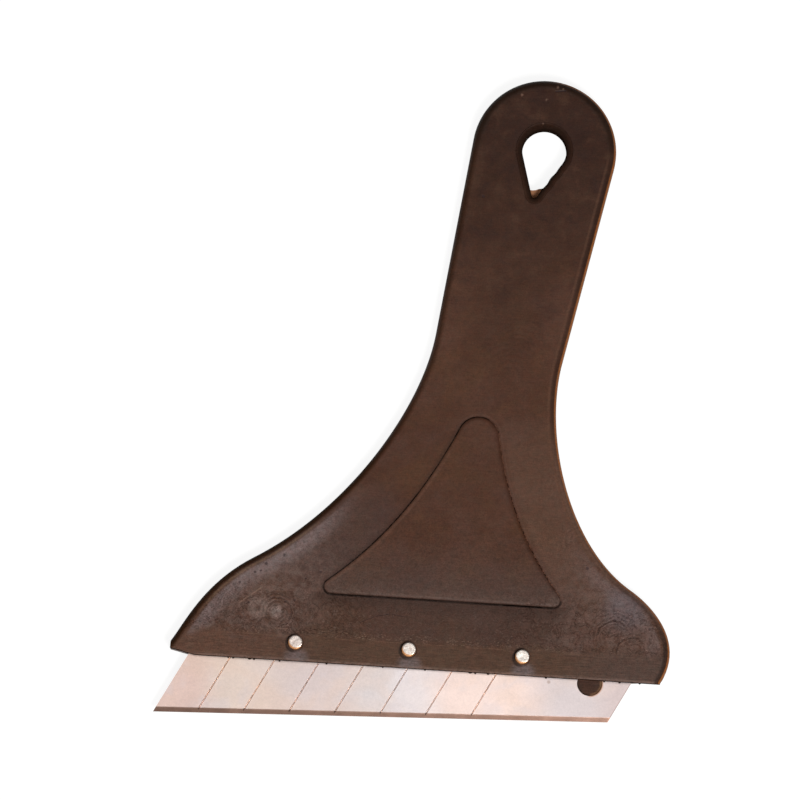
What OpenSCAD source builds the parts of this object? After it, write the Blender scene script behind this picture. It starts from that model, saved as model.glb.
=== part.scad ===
// Razor blade scraper: a moulded handle, a snap-off blade in its slot and three pressed pins.
// It lies on its back: X runs along the jaw edge, Y towards the grip, Z out of the front face.

/* [Jaw] */
// Width of the jaw from tip to tip
jaw_w = 110; // [100:1:130]
// Height of the flared part, from the jaw edge to the middle of the neck
flare_h = 73; // [65:1:90]
// Height of the flat end at the sharp left tip
tip_rise = 1.2; // [0.5:0.1:2]
// Length of the sloping underside behind the left tip
tip_run = 5.5; // [3:0.5:8]

/* [Grip] */
// Distance from the middle of the neck to the centre of the round end
grip_len = 44.8; // [30:0.1:80]
// Radius of the round end
grip_r = 16; // [14.5:0.5:20]
// Half the width of the neck
neck_r = 14.4; // [12:0.1:15]
// Lean of the grip towards the right, in degrees
grip_lean = 9.2; // [0:0.1:12]

/* [Moulding] */
// Thickness of the handle
handle_t = 5; // [4.5:0.1:7]
// Rounding of the long outer edges
edge_r = 1.8; // [0.8:0.1:2.1]
// Thickness of the front leaf that covers the blade
leaf_t = 1.75; // [1.2:0.05:2]

/* [Back lip] */
// Reach of the back lip below the jaw edge
lip_len = 5; // [3:0.5:7]
// Distance of the lip's ends from the blade's slanted ends
lip_inset = 2; // [1:0.5:6]
// Length of the bevel on the back of the lip
lip_bevel_len = 4; // [2:0.5:6]
// Depth of the bevel on the back of the lip
lip_bevel_t = 1.6; // [0.5:0.1:2]
// Rise of the back jaw at its right corner
corner_rise = 1; // [0.5:0.1:2]

/* [Raised pad] */
// Width of the pad along its base
pad_w = 52.2; // [40:0.2:60]
// Height of the pad from base to apex
pad_h = 41.2; // [30:0.2:46]
// Distance of the pad's base from the jaw edge
pad_base = 15.3; // [13:0.1:20]
// Distance of the pad's left corner from the left tip
pad_x = 32.9; // [28:0.1:38]
// Height of the pad over the front face
pad_t = 0.8; // [0.4:0.1:1.5]
// Rounding of the pad's upper edge
pad_edge_r = 0.5; // [0.2:0.1:0.6]
// Radius of the pad's apex
pad_apex_r = 4.5; // [3:0.25:6]
// Radius of the pad's two base corners
pad_corner_r = 1.6; // [1:0.1:3]

/* [Hang hole] */
// Radius of the round part of the hang hole
hang_r = 4.9; // [3.5:0.1:6]
// Distance from the centre of the round part to the narrow end of the drop
hang_tip = 10.8; // [8:0.1:14]
// Radius of the narrow end
hang_tip_r = 0.6; // [0.3:0.1:1.5]
// Rounding of the hole's rims
hang_rim_r = 0.9; // [0.3:0.1:1.2]

/* [Blade] */
// Length of the blade
blade_l = 100; // [90:1:104]
// Width of the blade
blade_w = 18; // [17:0.5:19]
// Thickness of the blade
blade_t = 0.5; // [0.4:0.05:0.7]
// Distance between score lines
score_pitch = 10; // [8:0.5:11]
// Distance from the blade's left end to its first score line
score_first = 9.5; // [5:0.1:12]
// Number of score lines
score_count = 7; // [3:1:7]
// Depth of a score line
score_depth = 0.12; // [0.05:0.01:0.2]
// Width of a score line
score_w = 0.3; // [0.1:0.05:0.5]
// Slant of the ends and score lines, in degrees
score_angle = 60; // [55:1:65]
// Height of the ground edge
grind_h = 1.1; // [0.6:0.1:2]
// Thickness left at the cutting edge
cutting_edge_t = 0.04; // [0.02:0.01:0.1]
// Radius of the hole in the tang
tang_hole_r = 2.8; // [1.5:0.1:3]
// Distance of the tang hole from the blade's right end
tang_hole_in = 9; // [6:0.5:12]
// Height of the tang hole over the cutting edge
tang_hole_up = 8.5; // [7:0.5:10]

/* [Seat of the blade] */
// Depth of the blade's back edge behind the jaw edge, at the blade's middle
seat_depth = 7.4; // [6.5:0.1:9]
// Turn of the blade against the jaw edge, in degrees
blade_skew = 2.3; // [0:0.1:3]
// Distance of the blade's middle from the jaw's middle
blade_shift = -3.4; // [-5:0.1:0]
// Clearance between the blade and the walls of its slot
blade_play = 0.05; // [0.02:0.01:0.1]

/* [Lock pins] */
// Radius of a lock pin
pin_r = 1.6; // [1:0.1:2]
// Distance between lock pins
pin_pitch = 25; // [18:0.5:30]
// Height of the pins over the jaw edge
pin_up = 4; // [3.4:0.1:5]
// Distance of the pin row's middle from the jaw's middle
pin_shift = -2.5; // [-5:0.1:3]
// Length of a pin that stands out of the front face
pin_stand = 1.2; // [0.5:0.1:2]
// Rounding of a pin's head
pin_edge_r = 0.3; // [0.1:0.05:0.5]
// Clearance between a pin and its bore
pin_fit = 0.01; // [0.01:0.01:0.05]
// Gap between a pin's inner end and the blade
pin_gap = 0.02; // [0.01:0.01:0.04]

/* [Hidden] */

// Overrun of every cut past the surface that it opens
cut = 1;
// Depth to which the pad is rooted in the handle
root_t = 0.5;

// Levels from the back face upwards
slot_top = handle_t - leaf_t;
slot_bottom = slot_top - blade_t - 2 * blade_play;
blade_bottom = slot_bottom + blade_play;

// Centres of the two circles that the grip's straight sides touch
neck_x_share = 0.62;
neck = [neck_x_share * jaw_w, flare_h];
grip_end = neck + grip_len * [sin(grip_lean), cos(grip_lean)];
grip_taper = asin((grip_r - neck_r) / grip_len);
right_side = -grip_lean - grip_taper;
left_side = 180 - grip_lean + grip_taper;

// Where each flare bends and ends: shares of jaw_w and flare_h, then the heading there in degrees
left_bend_shares = [0.155, 0.308];
left_end_shares = [-0.011, 0.019];
right_bend_shares = [0.914, 0.279];
right_end_shares = [0.983, 0.003];
left_bend_heading = 210.7;
left_end_heading = 223.5;
right_bend_heading = 148.4;
right_end_heading = 60.6;
// Pull of each curve's two control points, as shares of the distance that it spans
left_neck_shares = [0.259, 0.371];
left_tip_shares = [0.509, 0.16];
right_tip_shares = [0.589, 0.095];
right_neck_shares = [0.319, 0.32];

// Outward directions of the pad's sides, at the apex and at the base corners
pad_left_apex = 155;
pad_left_base = 128;
pad_right_base = 39.5;
pad_right_apex = 10;
pad_apex_x_share = 0.611;
pad_pull_shares = [0.35, 0.35];

// The blade's own slant, as a length along its edge
blade_slant = blade_w / tan(score_angle);
score_start = -blade_l / 2 - blade_slant + score_first;
blade_mid = [jaw_w / 2 + blade_shift + blade_slant / 2, seat_depth];

// Steps of the curves
end_steps = 36;
flare_steps = 26;
bend_steps = 14;
corner_steps = 10;
edge_steps = 6;

// Point at angle a on a circle
function on_circle(c, r, a) = c + r * [cos(a), sin(a)];
function arc(c, r, a0, a1, steps) = [for (i = [0:steps]) on_circle(c, r, a0 + (a1 - a0) * i / steps)];
function heading(a) = [cos(a), sin(a)];

// Cubic curve from p0 to p1 that starts along heading a0 and arrives along a1, without its last point
function cubic(p0, c0, c1, p1, t) =
    pow(1 - t, 3) * p0 + 3 * pow(1 - t, 2) * t * c0 + 3 * (1 - t) * t * t * c1 + pow(t, 3) * p1;
function sweep(p0, a0, p1, a1, pull, steps) =
    let (span = norm(p1 - p0))
    [for (i = [0:steps - 1])
        cubic(p0, p0 + pull[0] * span * heading(a0), p1 - pull[1] * span * heading(a1), p1, i / steps)];

function past_first(line) = [for (i = [1:len(line) - 1]) line[i]];

// A closed outline, drawn in by s along its own normals
function outward(a, b) = let (d = (b - a) / norm(b - a)) [d.y, -d.x];
function drawn_in(line, s) =
    let (n = len(line))
    [for (i = [0:n - 1])
        let (
            before = outward(line[(i + n - 1) % n], line[i]),
            after = outward(line[i], line[(i + 1) % n])
        )
        line[i] - s * (before + after) / (1 + before * after)];

// Levels of a quarter-round edge: [height, amount drawn in], rising to height z or starting at it
quarter = [for (i = [0:edge_steps]) 90 * i / edge_steps];
function round_up(z, r) = [for (a = quarter) [z - r + r * sin(a), r - r * cos(a)]];
function round_down(z, r) = [for (a = quarter) [z + r - r * cos(a), r - r * sin(a)]];
// The same for the rim of a hole, which widens towards the face
function rim_up(z, r) = [for (a = quarter) [z - r + r * sin(a), r * cos(a) - r]];
function rim_down(z, r) = [for (a = quarter) [z + r - r * cos(a), r * sin(a) - r]];

// Flat face inside an outline of n points, as strips between the points that lie across from each other
function strips(n) = [for (i = [0:ceil(n / 2) - 2])
    i + 1 == n - 2 - i ? [i, i + 1, n - 1 - i] : [i, i + 1, n - 2 - i, n - 1 - i]];

// Solid whose outline is drawn in by a different amount at each level.
// The outline starts and ends at its foot, with as many points up its right side as down its left.
module lofted(line, levels) {
    n = len(line);
    m = len(levels);
    points = [for (level = levels) for (p = drawn_in(line, level[1])) [p.x, p.y, level[0]]];
    walls = [for (k = [0:m - 2]) for (i = [0:n - 1])
        let (j = (i + 1) % n)
        for (face = [
            [k * n + i, (k + 1) * n + i, (k + 1) * n + j],
            [k * n + i, (k + 1) * n + j, k * n + j]
        ]) face];
    roof = [for (strip = strips(n)) [for (i = [len(strip) - 1:-1:0]) (m - 1) * n + strip[i]]];
    polyhedron(points, concat(walls, strips(n), roof));
}

// Outline of the handle, counter-clockwise, run on below the jaw edge for the lip to be cut from
left_bend = [left_bend_shares[0] * jaw_w, left_bend_shares[1] * flare_h];
left_end = [left_end_shares[0] * jaw_w, left_end_shares[1] * flare_h];
right_bend = [right_bend_shares[0] * jaw_w, right_bend_shares[1] * flare_h];
right_end = [right_end_shares[0] * jaw_w, right_end_shares[1] * flare_h];
blank_bottom = -lip_len - edge_r - cut;
handle_line = concat(
    [[right_end.x, blank_bottom]],
    sweep(right_end, right_end_heading, right_bend, right_bend_heading, right_tip_shares, bend_steps),
    sweep(right_bend, right_bend_heading, on_circle(neck, neck_r, right_side), right_side + 90,
        right_neck_shares, flare_steps),
    [on_circle(neck, neck_r, right_side)],
    arc(grip_end, grip_r, right_side, left_side, end_steps),
    sweep(on_circle(neck, neck_r, left_side), left_side + 90, left_bend, left_bend_heading,
        left_neck_shares, flare_steps),
    sweep(left_bend, left_bend_heading, left_end, left_end_heading, left_tip_shares, bend_steps),
    [left_end, [left_end.x, blank_bottom]]
);

// Outline of the raised pad
pad_left = [pad_x + pad_corner_r, pad_base + pad_corner_r];
pad_right = [pad_x + pad_w - pad_corner_r, pad_base + pad_corner_r];
pad_apex = [pad_x + pad_apex_x_share * pad_w, pad_base + pad_h - pad_apex_r];
pad_line = concat(
    arc(pad_right, pad_corner_r, -90, pad_right_base, corner_steps),
    past_first(sweep(on_circle(pad_right, pad_corner_r, pad_right_base), pad_right_base + 90,
        on_circle(pad_apex, pad_apex_r, pad_right_apex), pad_right_apex + 90,
        pad_pull_shares, bend_steps)),
    arc(pad_apex, pad_apex_r, pad_right_apex, pad_left_apex, bend_steps),
    past_first(sweep(on_circle(pad_apex, pad_apex_r, pad_left_apex), pad_left_apex + 90,
        on_circle(pad_left, pad_corner_r, pad_left_base), pad_left_base + 90,
        pad_pull_shares, bend_steps)),
    arc(pad_left, pad_corner_r, pad_left_base, 270, corner_steps)
);

// Outline of the drop-shaped hang hole, whose narrow end lies down the grip
hang_reach = hang_tip - hang_tip_r;
hang_open = acos((hang_r - hang_tip_r) / hang_reach);
hang_down = 270 - grip_lean;
hang_end = on_circle(grip_end, hang_reach, hang_down);
hang_line = concat(
    arc(hang_end, hang_tip_r, hang_down - 360, hang_down + hang_open - 360, corner_steps),
    arc(grip_end, hang_r, hang_down + hang_open - 360, hang_down - hang_open, end_steps),
    arc(hang_end, hang_tip_r, hang_down - hang_open, hang_down - hang_open / corner_steps, corner_steps - 1)
);

// Lip under the blade: its ends follow the blade's slant
lip_left_x = blade_mid.x - blade_l / 2 - seat_depth / tan(score_angle) + lip_inset;
lip_right_x = lip_left_x + blade_l - 2 * lip_inset;
lip_slant = lip_len / tan(score_angle);

// Extent of the whole part, from which its middle is set on the origin
function seated(p) = blade_mid + [
    p.x * cos(blade_skew) - p.y * sin(blade_skew),
    p.x * sin(blade_skew) + p.y * cos(blade_skew)
];
cutting_left = seated([-blade_l / 2 - blade_slant, -blade_w]);
cutting_right = seated([blade_l / 2 - blade_slant, -blade_w]);
part_left = min(0, cutting_left.x);
part_right = max([for (p = handle_line) p.x]);
part_low = min(cutting_left.y, cutting_right.y);
part_high = grip_end.y + grip_r;

// Puts the jaw frame, whose zero is the left tip, in the part's own frame
module in_place() {
    translate([-(part_left + part_right) / 2, -(part_low + part_high) / 2, 0]) children();
}

// The blade's frame: zero is the middle of its back edge
module in_seat() {
    translate([blade_mid.x, blade_mid.y, 0]) rotate(blade_skew) children();
}

// What lies below the underside of the front leaf, and above the slot
module below_leaf() {
    translate([0, 0, slot_top - blade_play])
        linear_extrude(leaf_t + blade_play + cut)
            polygon([
                [-cut, tip_rise],
                [0, tip_rise],
                [tip_run, 0],
                [jaw_w + cut, 0],
                [jaw_w + cut, blank_bottom - cut],
                [left_end.x - cut, blank_bottom - cut],
                [left_end.x - cut, tip_rise]
            ]);
}

// What lies below the underside of the back jaw and round its lip
module below_jaw() {
    translate([0, 0, -cut])
        linear_extrude(slot_bottom + blade_play + cut)
            polygon([
                [left_end.x - cut, tip_rise],
                [0, tip_rise],
                [tip_run, 0],
                [lip_left_x, 0],
                [lip_left_x - lip_slant, -lip_len],
                [lip_right_x - lip_slant, -lip_len],
                [lip_right_x, 0],
                [jaw_w, corner_rise],
                [jaw_w + cut, corner_rise],
                [jaw_w + cut, blank_bottom - cut],
                [left_end.x - cut, blank_bottom - cut]
            ]);
}

// Bevel along the back of the lip, so that the blade can lie low on the work
module lip_bevel() {
    slope = lip_bevel_t / lip_bevel_len;
    rotate([90, 0, 90])
        linear_extrude(jaw_w)
            polygon([
                [-lip_len + lip_bevel_len + cut, -cut * slope],
                [-lip_len - cut, lip_bevel_t + cut * slope],
                [-lip_len - cut, -cut],
                [-lip_len + lip_bevel_len + cut, -cut]
            ]);
}

// Slot between leaf and jaw: its floor lies along the back edge of the blade
module slot() {
    in_seat()
        translate([-jaw_w, -blade_w - lip_len - cut, slot_bottom])
            cube([2 * jaw_w, blade_w + lip_len + cut + blade_play, slot_top - slot_bottom]);
}

function pin_place(i) = [jaw_w / 2 + pin_shift + i * pin_pitch, pin_up];

module handle() {
    color([0.30, 0.21, 0.17])
    in_place()
    difference() {
        union() {
            lofted(handle_line, concat(round_down(0, edge_r), round_up(handle_t, edge_r)));
            lofted(pad_line, concat([[handle_t - root_t, 0]], round_up(handle_t + pad_t, pad_edge_r)));
        }
        below_leaf();
        below_jaw();
        lip_bevel();
        slot();
        // Flat end of the sharp left tip
        translate([left_end.x - cut, blank_bottom - cut, -cut])
            cube([cut - left_end.x, flare_h, handle_t + 2 * cut]);
        lofted(hang_line, concat(
            [[-cut, -hang_rim_r]], rim_down(0, hang_rim_r),
            rim_up(handle_t, hang_rim_r), [[handle_t + cut, -hang_rim_r]]
        ));
        for (i = [-1:1])
            translate([pin_place(i).x, pin_place(i).y, slot_bottom + blade_play])
                cylinder(r = pin_r + pin_fit, h = handle_t, $fn = 48);
    }
}

// One V-shaped score line across the whole blade, from a point on its cutting edge
module score_line() {
    length = blade_w / sin(score_angle);
    rotate(score_angle)
        translate([-cut, 0, blade_t])
            rotate([90, 0, 90])
                linear_extrude(length + 2 * cut)
                    polygon([[-score_w / 2, 0], [0, -score_depth], [score_w / 2, 0], [0, score_depth]]);
}

// Wedge that is ground off one face along the cutting edge
module grinding() {
    step_t = (blade_t - cutting_edge_t) / 2;
    slope = step_t / grind_h;
    translate([-blade_l, -blade_w, 0])
        rotate([90, 0, 90])
            linear_extrude(2 * blade_l)
                polygon([
                    [grind_h + cut, blade_t + cut * slope],
                    [-cut, blade_t - step_t - cut * slope],
                    [-cut, blade_t + cut * slope]
                ]);
}

module blade() {
    color([0.80, 0.77, 0.74])
    in_place()
    in_seat()
    translate([0, 0, blade_bottom])
    difference() {
        linear_extrude(blade_t)
            polygon([
                [-blade_l / 2 - blade_slant, -blade_w],
                [blade_l / 2 - blade_slant, -blade_w],
                [blade_l / 2, 0],
                [-blade_l / 2, 0]
            ]);
        grinding();
        translate([0, 0, blade_t]) mirror([0, 0, 1]) grinding();
        for (i = [1:score_count])
            translate([score_start + (i - 1) * score_pitch, -blade_w, 0]) score_line();
        translate([
            blade_l / 2 - (blade_w - tang_hole_up) / tan(score_angle) - tang_hole_in,
            tang_hole_up - blade_w,
            -cut
        ])
            cylinder(r = tang_hole_r, h = blade_t + 2 * cut, $fn = 48);
    }
}

module lock_pin(i) {
    pin_bottom = blade_bottom + blade_t + pin_gap;
    pin_l = handle_t + pin_stand - pin_bottom;
    color([0.82, 0.81, 0.80])
    in_place()
    translate([pin_place(i).x, pin_place(i).y, pin_bottom])
        rotate_extrude($fn = 48)
            polygon(concat(
                [[0, 0], [pin_r, 0]],
                [for (s = round_up(pin_l, pin_edge_r)) [pin_r - s[1], s[0]]],
                [[0, pin_l]]
            ));
}
module lock_pin_left() { lock_pin(-1); }
module lock_pin_middle() { lock_pin(0); }
module lock_pin_right() { lock_pin(1); }

handle();
blade();
lock_pin_left();
lock_pin_middle();
lock_pin_right();
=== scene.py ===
from math import acos, asin, cos, degrees, pi, radians, sin, tan
from random import Random

import bpy
import numpy as np
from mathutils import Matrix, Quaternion, Vector, noise
from mathutils.geometry import delaunay_2d_cdt


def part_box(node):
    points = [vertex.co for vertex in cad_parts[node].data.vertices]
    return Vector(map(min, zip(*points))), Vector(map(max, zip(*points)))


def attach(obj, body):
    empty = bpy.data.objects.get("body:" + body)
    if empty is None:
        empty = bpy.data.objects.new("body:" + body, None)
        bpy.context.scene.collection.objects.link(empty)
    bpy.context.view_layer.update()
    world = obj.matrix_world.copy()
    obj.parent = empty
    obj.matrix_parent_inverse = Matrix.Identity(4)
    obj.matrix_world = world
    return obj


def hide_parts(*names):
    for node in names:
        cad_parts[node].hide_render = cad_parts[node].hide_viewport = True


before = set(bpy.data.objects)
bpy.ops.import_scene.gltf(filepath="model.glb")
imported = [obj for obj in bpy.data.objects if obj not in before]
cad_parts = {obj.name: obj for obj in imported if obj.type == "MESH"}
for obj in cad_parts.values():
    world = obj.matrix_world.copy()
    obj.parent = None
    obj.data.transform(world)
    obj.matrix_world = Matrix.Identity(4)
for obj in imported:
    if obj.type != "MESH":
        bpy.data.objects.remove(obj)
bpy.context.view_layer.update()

MM = 0.001

# Driving sizes, in millimetres, measured from the left tip on the jaw edge
jaw_w = 110
flare_h = 73
tip_rise = 1.2
tip_run = 5.5
grip_len = 44.8
grip_r = 16
neck_r = 14.4
grip_lean = 9.2
neck_x_share = 0.62
handle_t = 5
edge_r = 1.8
leaf_t = 1.75
lip_len = 5
lip_inset = 2
lip_bevel_len = 4
lip_bevel_t = 1.6
corner_rise = 1
pad_w = 52.2
pad_h = 41.2
pad_base = 15.3
pad_x = 32.9
pad_t = 0.8
pad_edge_r = 0.5
pad_apex_r = 4.5
pad_corner_r = 1.6
pad_apex_x_share = 0.611
hang_r = 4.9
hang_tip = 10.8
hang_tip_r = 0.6
hang_rim_r = 0.9
blade_l = 100
blade_w = 18
blade_t = 0.5
score_pitch = 10
score_first = 9.5
score_count = 7
score_angle = 60
grind_h = 1.1
seat_depth = 7.4
blade_skew = 2.3
blade_shift = -3.4
blade_play = 0.05
tang_hole_r = 2.8
tang_hole_in = 9
tang_hole_up = 8.5
pin_r = 1.6
pin_pitch = 25
pin_up = 4
pin_shift = -2.5
pin_stand = 1.2
pin_fit = 0.01
pin_gap = 0.02
cut = 1

slot_top = handle_t - leaf_t
slot_bottom = slot_top - blade_t - 2 * blade_play
parting_z = handle_t / 2

# Bends of the handle's outline: places as shares of jaw_w and flare_h, headings in degrees, and
# shares of each curve's span that it follows its headings
left_bend_shares = (0.155, 0.308)
left_end_shares = (-0.011, 0.019)
right_bend_shares = (0.914, 0.279)
right_end_shares = (0.983, 0.003)
left_bend_heading = 210.7
left_end_heading = 223.5
right_bend_heading = 148.4
right_end_heading = 60.6
left_neck_shares = (0.259, 0.371)
left_tip_shares = (0.509, 0.16)
right_tip_shares = (0.589, 0.095)
right_neck_shares = (0.319, 0.32)
# Where the pad's long sides leave its corners and its apex, in degrees
pad_left_apex = 155
pad_left_base = 128
pad_right_base = 39.5
pad_right_apex = 10
pad_pull_shares = (0.35, 0.35)
# No point lies nearer than this to the left end, so that drawn-in outlines don't cross
left_end_clear = 1.2
# Ripples on the drop's lower right side: height, turn and phase in radians
ripple_h = 0.11
ripple_turn = 17
ripple_phase = 1.2

# The jaw frame's zero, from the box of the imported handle
handle_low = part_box("handle")[0]
jaw_x = handle_low.x / MM
jaw_y = handle_low.y / MM + lip_len


# Outlines

def on_circle(centre, r, a):
    return np.array(centre) + r * np.array([cos(radians(a)), sin(radians(a))])


def arc(centre, r, a0, a1, steps):
    return [on_circle(centre, r, a0 + (a1 - a0) * i / steps) for i in range(steps + 1)]


def sweep(p0, a0, p1, a1, pull, steps):
    """Cubic curve from p0 along heading a0 to p1 along a1, without its last point."""
    span = np.linalg.norm(p1 - p0)
    c0 = on_circle(p0, pull[0] * span, a0)
    c1 = on_circle(p1, -pull[1] * span, a1)
    points = []
    for i in range(steps):
        t = i / steps
        u = 1 - t
        points.append(u ** 3 * p0 + 3 * u ** 2 * t * c0 + 3 * u * t * t * c1 + t ** 3 * p1)
    return points


def drawn_in(line, s):
    """A closed outline, counter-clockwise, drawn in by s along its own normals."""
    ahead = np.roll(line, -1, axis=0) - line
    ahead /= np.linalg.norm(ahead, axis=1)[:, None]
    after = np.stack([ahead[:, 1], -ahead[:, 0]], axis=1)
    before = np.roll(after, 1, axis=0)
    return line - s * (before + after) / (1 + (before * after).sum(axis=1))[:, None]


def in_shares(shares):
    return np.array(shares) * (jaw_w, flare_h)


def handle_outline():
    """Counter-clockwise from the right end; each curve's last number is its count of steps."""
    neck = np.array([neck_x_share * jaw_w, flare_h])
    taper = degrees(asin((grip_r - neck_r) / grip_len))
    right_side = -grip_lean - taper
    left_side = 180 - grip_lean + taper
    left_bend, right_bend = in_shares(left_bend_shares), in_shares(right_bend_shares)
    right_end = in_shares(right_end_shares)
    bottom = -lip_len - edge_r - cut
    right_neck = on_circle(neck, neck_r, right_side)
    left_neck = on_circle(neck, neck_r, left_side)
    line = [np.array([right_end[0], bottom])]
    line += sweep(right_end, right_end_heading, right_bend, right_bend_heading, right_tip_shares, 26)
    line += sweep(right_bend, right_bend_heading, right_neck, right_side + 90, right_neck_shares, 56)
    line += arc(grip_end, grip_r, right_side, left_side, 110)
    line += sweep(left_neck, left_side + 90, left_bend, left_bend_heading, left_neck_shares, 64)
    last = sweep(left_bend, left_bend_heading, left_end, left_end_heading, left_tip_shares, 22)
    line += [p for p in last if np.linalg.norm(p - left_end) > left_end_clear]
    line += [left_end, np.array([left_end[0], bottom])]
    return np.array(line)


def pad_outline():
    left = np.array([pad_x + pad_corner_r, pad_base + pad_corner_r])
    right = np.array([pad_x + pad_w - pad_corner_r, pad_base + pad_corner_r])
    apex = np.array([pad_x + pad_apex_x_share * pad_w, pad_base + pad_h - pad_apex_r])
    line = arc(right, pad_corner_r, -90, pad_right_base, 12)
    line += sweep(line[-1], pad_right_base + 90, on_circle(apex, pad_apex_r, pad_right_apex),
                  pad_right_apex + 90, pad_pull_shares, 80)[1:]
    line += arc(apex, pad_apex_r, pad_right_apex, pad_left_apex, 20)
    line += sweep(line[-1], pad_left_apex + 90, on_circle(left, pad_corner_r, pad_left_base),
                  pad_left_base + 90, pad_pull_shares, 50)[1:]
    line += arc(left, pad_corner_r, pad_left_base, 270, 12)
    return np.array(line)


def hang_outline():
    """The drop, whose lower right side is a little wavy."""
    reach = hang_tip - hang_tip_r
    opening = degrees(acos((hang_r - hang_tip_r) / reach))
    down = 270 - grip_lean
    end = on_circle(grip_end, reach, down)
    first = on_circle(end, hang_tip_r, down + opening)
    last = on_circle(grip_end, hang_r, down + opening)
    out = on_circle((0, 0), 1, down + opening)
    side = []
    for i in range(1, 16):
        t = i / 16
        ripple = ripple_h * sin(pi * t) * sin(t * ripple_turn + ripple_phase)
        side.append(first + (last - first) * t + out * ripple)
    line = arc(end, hang_tip_r, down, down + opening, 8) + side
    line += arc(grip_end, hang_r, down + opening, down - opening + 360, 72)
    line += arc(end, hang_tip_r, down - opening, down, 8)[:-1]
    return np.array(line)


left_end = in_shares(left_end_shares)
grip_end = np.array([neck_x_share * jaw_w, flare_h]) + grip_len * np.array(
    [sin(radians(grip_lean)), cos(radians(grip_lean))])
blade_slant = blade_w / tan(radians(score_angle))
blade_mid = np.array([jaw_w / 2 + blade_shift + blade_slant / 2, seat_depth])
# From the blade's upper right corner to the tang hole's middle, along the blade
tang_hole_from_end = (blade_w - tang_hole_up) / tan(radians(score_angle)) + tang_hole_in


def seated(x, y):
    """Jaw-frame place of a point of the blade, whose own zero is the middle of its back edge."""
    c, s = cos(radians(blade_skew)), sin(radians(blade_skew))
    return blade_mid + np.array([x * c - y * s, x * s + y * c])


# Meshes

def in_part(points):
    """Jaw-frame millimetres to the part's own metres."""
    return (np.asarray(points, float) + np.array([jaw_x, jaw_y, 0])) * MM


def inside(points, ring):
    """Which points lie inside a closed ring, and how far each is from it."""
    a, b = ring, np.roll(ring, -1, axis=0)
    hits = np.zeros(len(points), int)
    gap = np.full(len(points), 1e9)
    for (x0, y0), (x1, y1) in zip(a, b):
        across = (points[:, 1] >= min(y0, y1)) & (points[:, 1] < max(y0, y1))
        if y1 != y0:
            hits += across & (points[:, 0] < x0 + (points[:, 1] - y0) / (y1 - y0) * (x1 - x0))
        d = np.array([x1 - x0, y1 - y0])
        t = np.clip(((points - (x0, y0)) @ d) / (d @ d), 0, 1)
        gap = np.minimum(gap, np.linalg.norm(points - (x0, y0) - t[:, None] * d, axis=1))
    return hits % 2 == 1, gap


def flat_face(ring, spacing):
    """Extra points inside a ring, and the triangles that fill it."""
    extra = np.zeros((0, 2))
    if spacing:
        low, high = ring.min(axis=0), ring.max(axis=0)
        rows = []
        for j, y in enumerate(np.arange(low[1] + spacing, high[1], spacing * 0.87)):
            x = np.arange(low[0] + spacing * (0.5 if j % 2 else 1), high[0], spacing)
            rows.append(np.stack([x, np.full(len(x), y)], axis=1))
        extra = np.concatenate(rows)
        is_in, gap = inside(extra, ring)
        extra = extra[is_in & (gap > spacing * 0.45)]
    n = len(ring)
    points = [Vector(p) for p in ring] + [Vector(p) for p in extra]
    loop = [(i, (i + 1) % n) for i in range(n)]
    found = delaunay_2d_cdt(points, loop, [], 1, 1e-7)
    index = [origin[0] for origin in found[3]]
    return extra, [[index[v] for v in face] for face in found[2]]


def lofted(name, line, levels, spacing=0):
    """Closed solid whose outline is drawn in by a different amount at each level (z, amount)."""
    line = np.array(line)
    n, m = len(line), len(levels)
    rings = [drawn_in(line, s) for z, s in levels]
    points = [np.column_stack([ring, np.full(n, z)]) for ring, (z, s) in zip(rings, levels)]
    faces = []
    for k in range(m - 1):
        for i in range(n):
            j = (i + 1) % n
            faces.append([k * n + i, k * n + j, (k + 1) * n + j, (k + 1) * n + i])
    count = n * m
    for k, flip in ((0, True), (m - 1, False)):
        extra, triangles = flat_face(rings[k], spacing)
        points.append(np.column_stack([extra, np.full(len(extra), levels[k][0])]))
        for triangle in triangles:
            face = [k * n + v if v < n else count + v - n for v in triangle]
            faces.append(face[::-1] if flip else face)
        count += len(extra)
    return new_object(name, np.concatenate(points), faces)


def placed(name, data):
    thing = bpy.data.objects.new(name, data)
    bpy.context.scene.collection.objects.link(thing)
    return thing


def new_object(name, points, faces):
    mesh = bpy.data.meshes.new(name)
    mesh.from_pydata(in_part(points).tolist(), [], faces)
    mesh.update()
    return placed(name, mesh)


def combine(thing, other, operation="DIFFERENCE"):
    """Cuts other out of thing, or joins it, and deletes other."""
    step = thing.modifiers.new("combine", "BOOLEAN")
    step.operation = operation
    step.solver = "MANIFOLD"
    step.object = other
    settled = thing.evaluated_get(bpy.context.evaluated_depsgraph_get())
    mesh = bpy.data.meshes.new_from_object(settled)
    thing.modifiers.clear()
    old = thing.data
    thing.data = mesh
    bpy.data.meshes.remove(old)
    bpy.data.objects.remove(other)


def quarter(steps=7):
    return [pi / 2 * i / steps for i in range(steps + 1)]


def round_up(z, r):
    return [(z - r + r * sin(a), r - r * cos(a)) for a in quarter()]


def round_down(z, r):
    return [(z + r - r * cos(a), r - r * sin(a)) for a in quarter()]


def rim(levels):
    """The rounding that a cutter leaves, from that of a solid."""
    return [(z, -s) for z, s in levels]


def smooth(thing, angle):
    thing.data.shade_smooth()
    thing.data.set_sharp_from_angle(angle=radians(angle))
    step = thing.modifiers.new("even_normals", "WEIGHTED_NORMAL")
    step.keep_sharp = True


# Node helpers, each in the node tree of the sockets that it is given

def feed(node, inputs):
    """Links a node's inputs to the sockets that it is given, and sets the rest."""
    for key, value in inputs.items():
        if isinstance(value, bpy.types.NodeSocket):
            node.id_data.links.new(value, node.inputs[key])
        else:
            node.inputs[key].default_value = value


def add(tree, kind, inputs=(), **settings):
    node = tree.nodes.new("ShaderNode" + kind)
    for key, value in settings.items():
        setattr(node, key, value)
    feed(node, dict(inputs))
    return node


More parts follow.
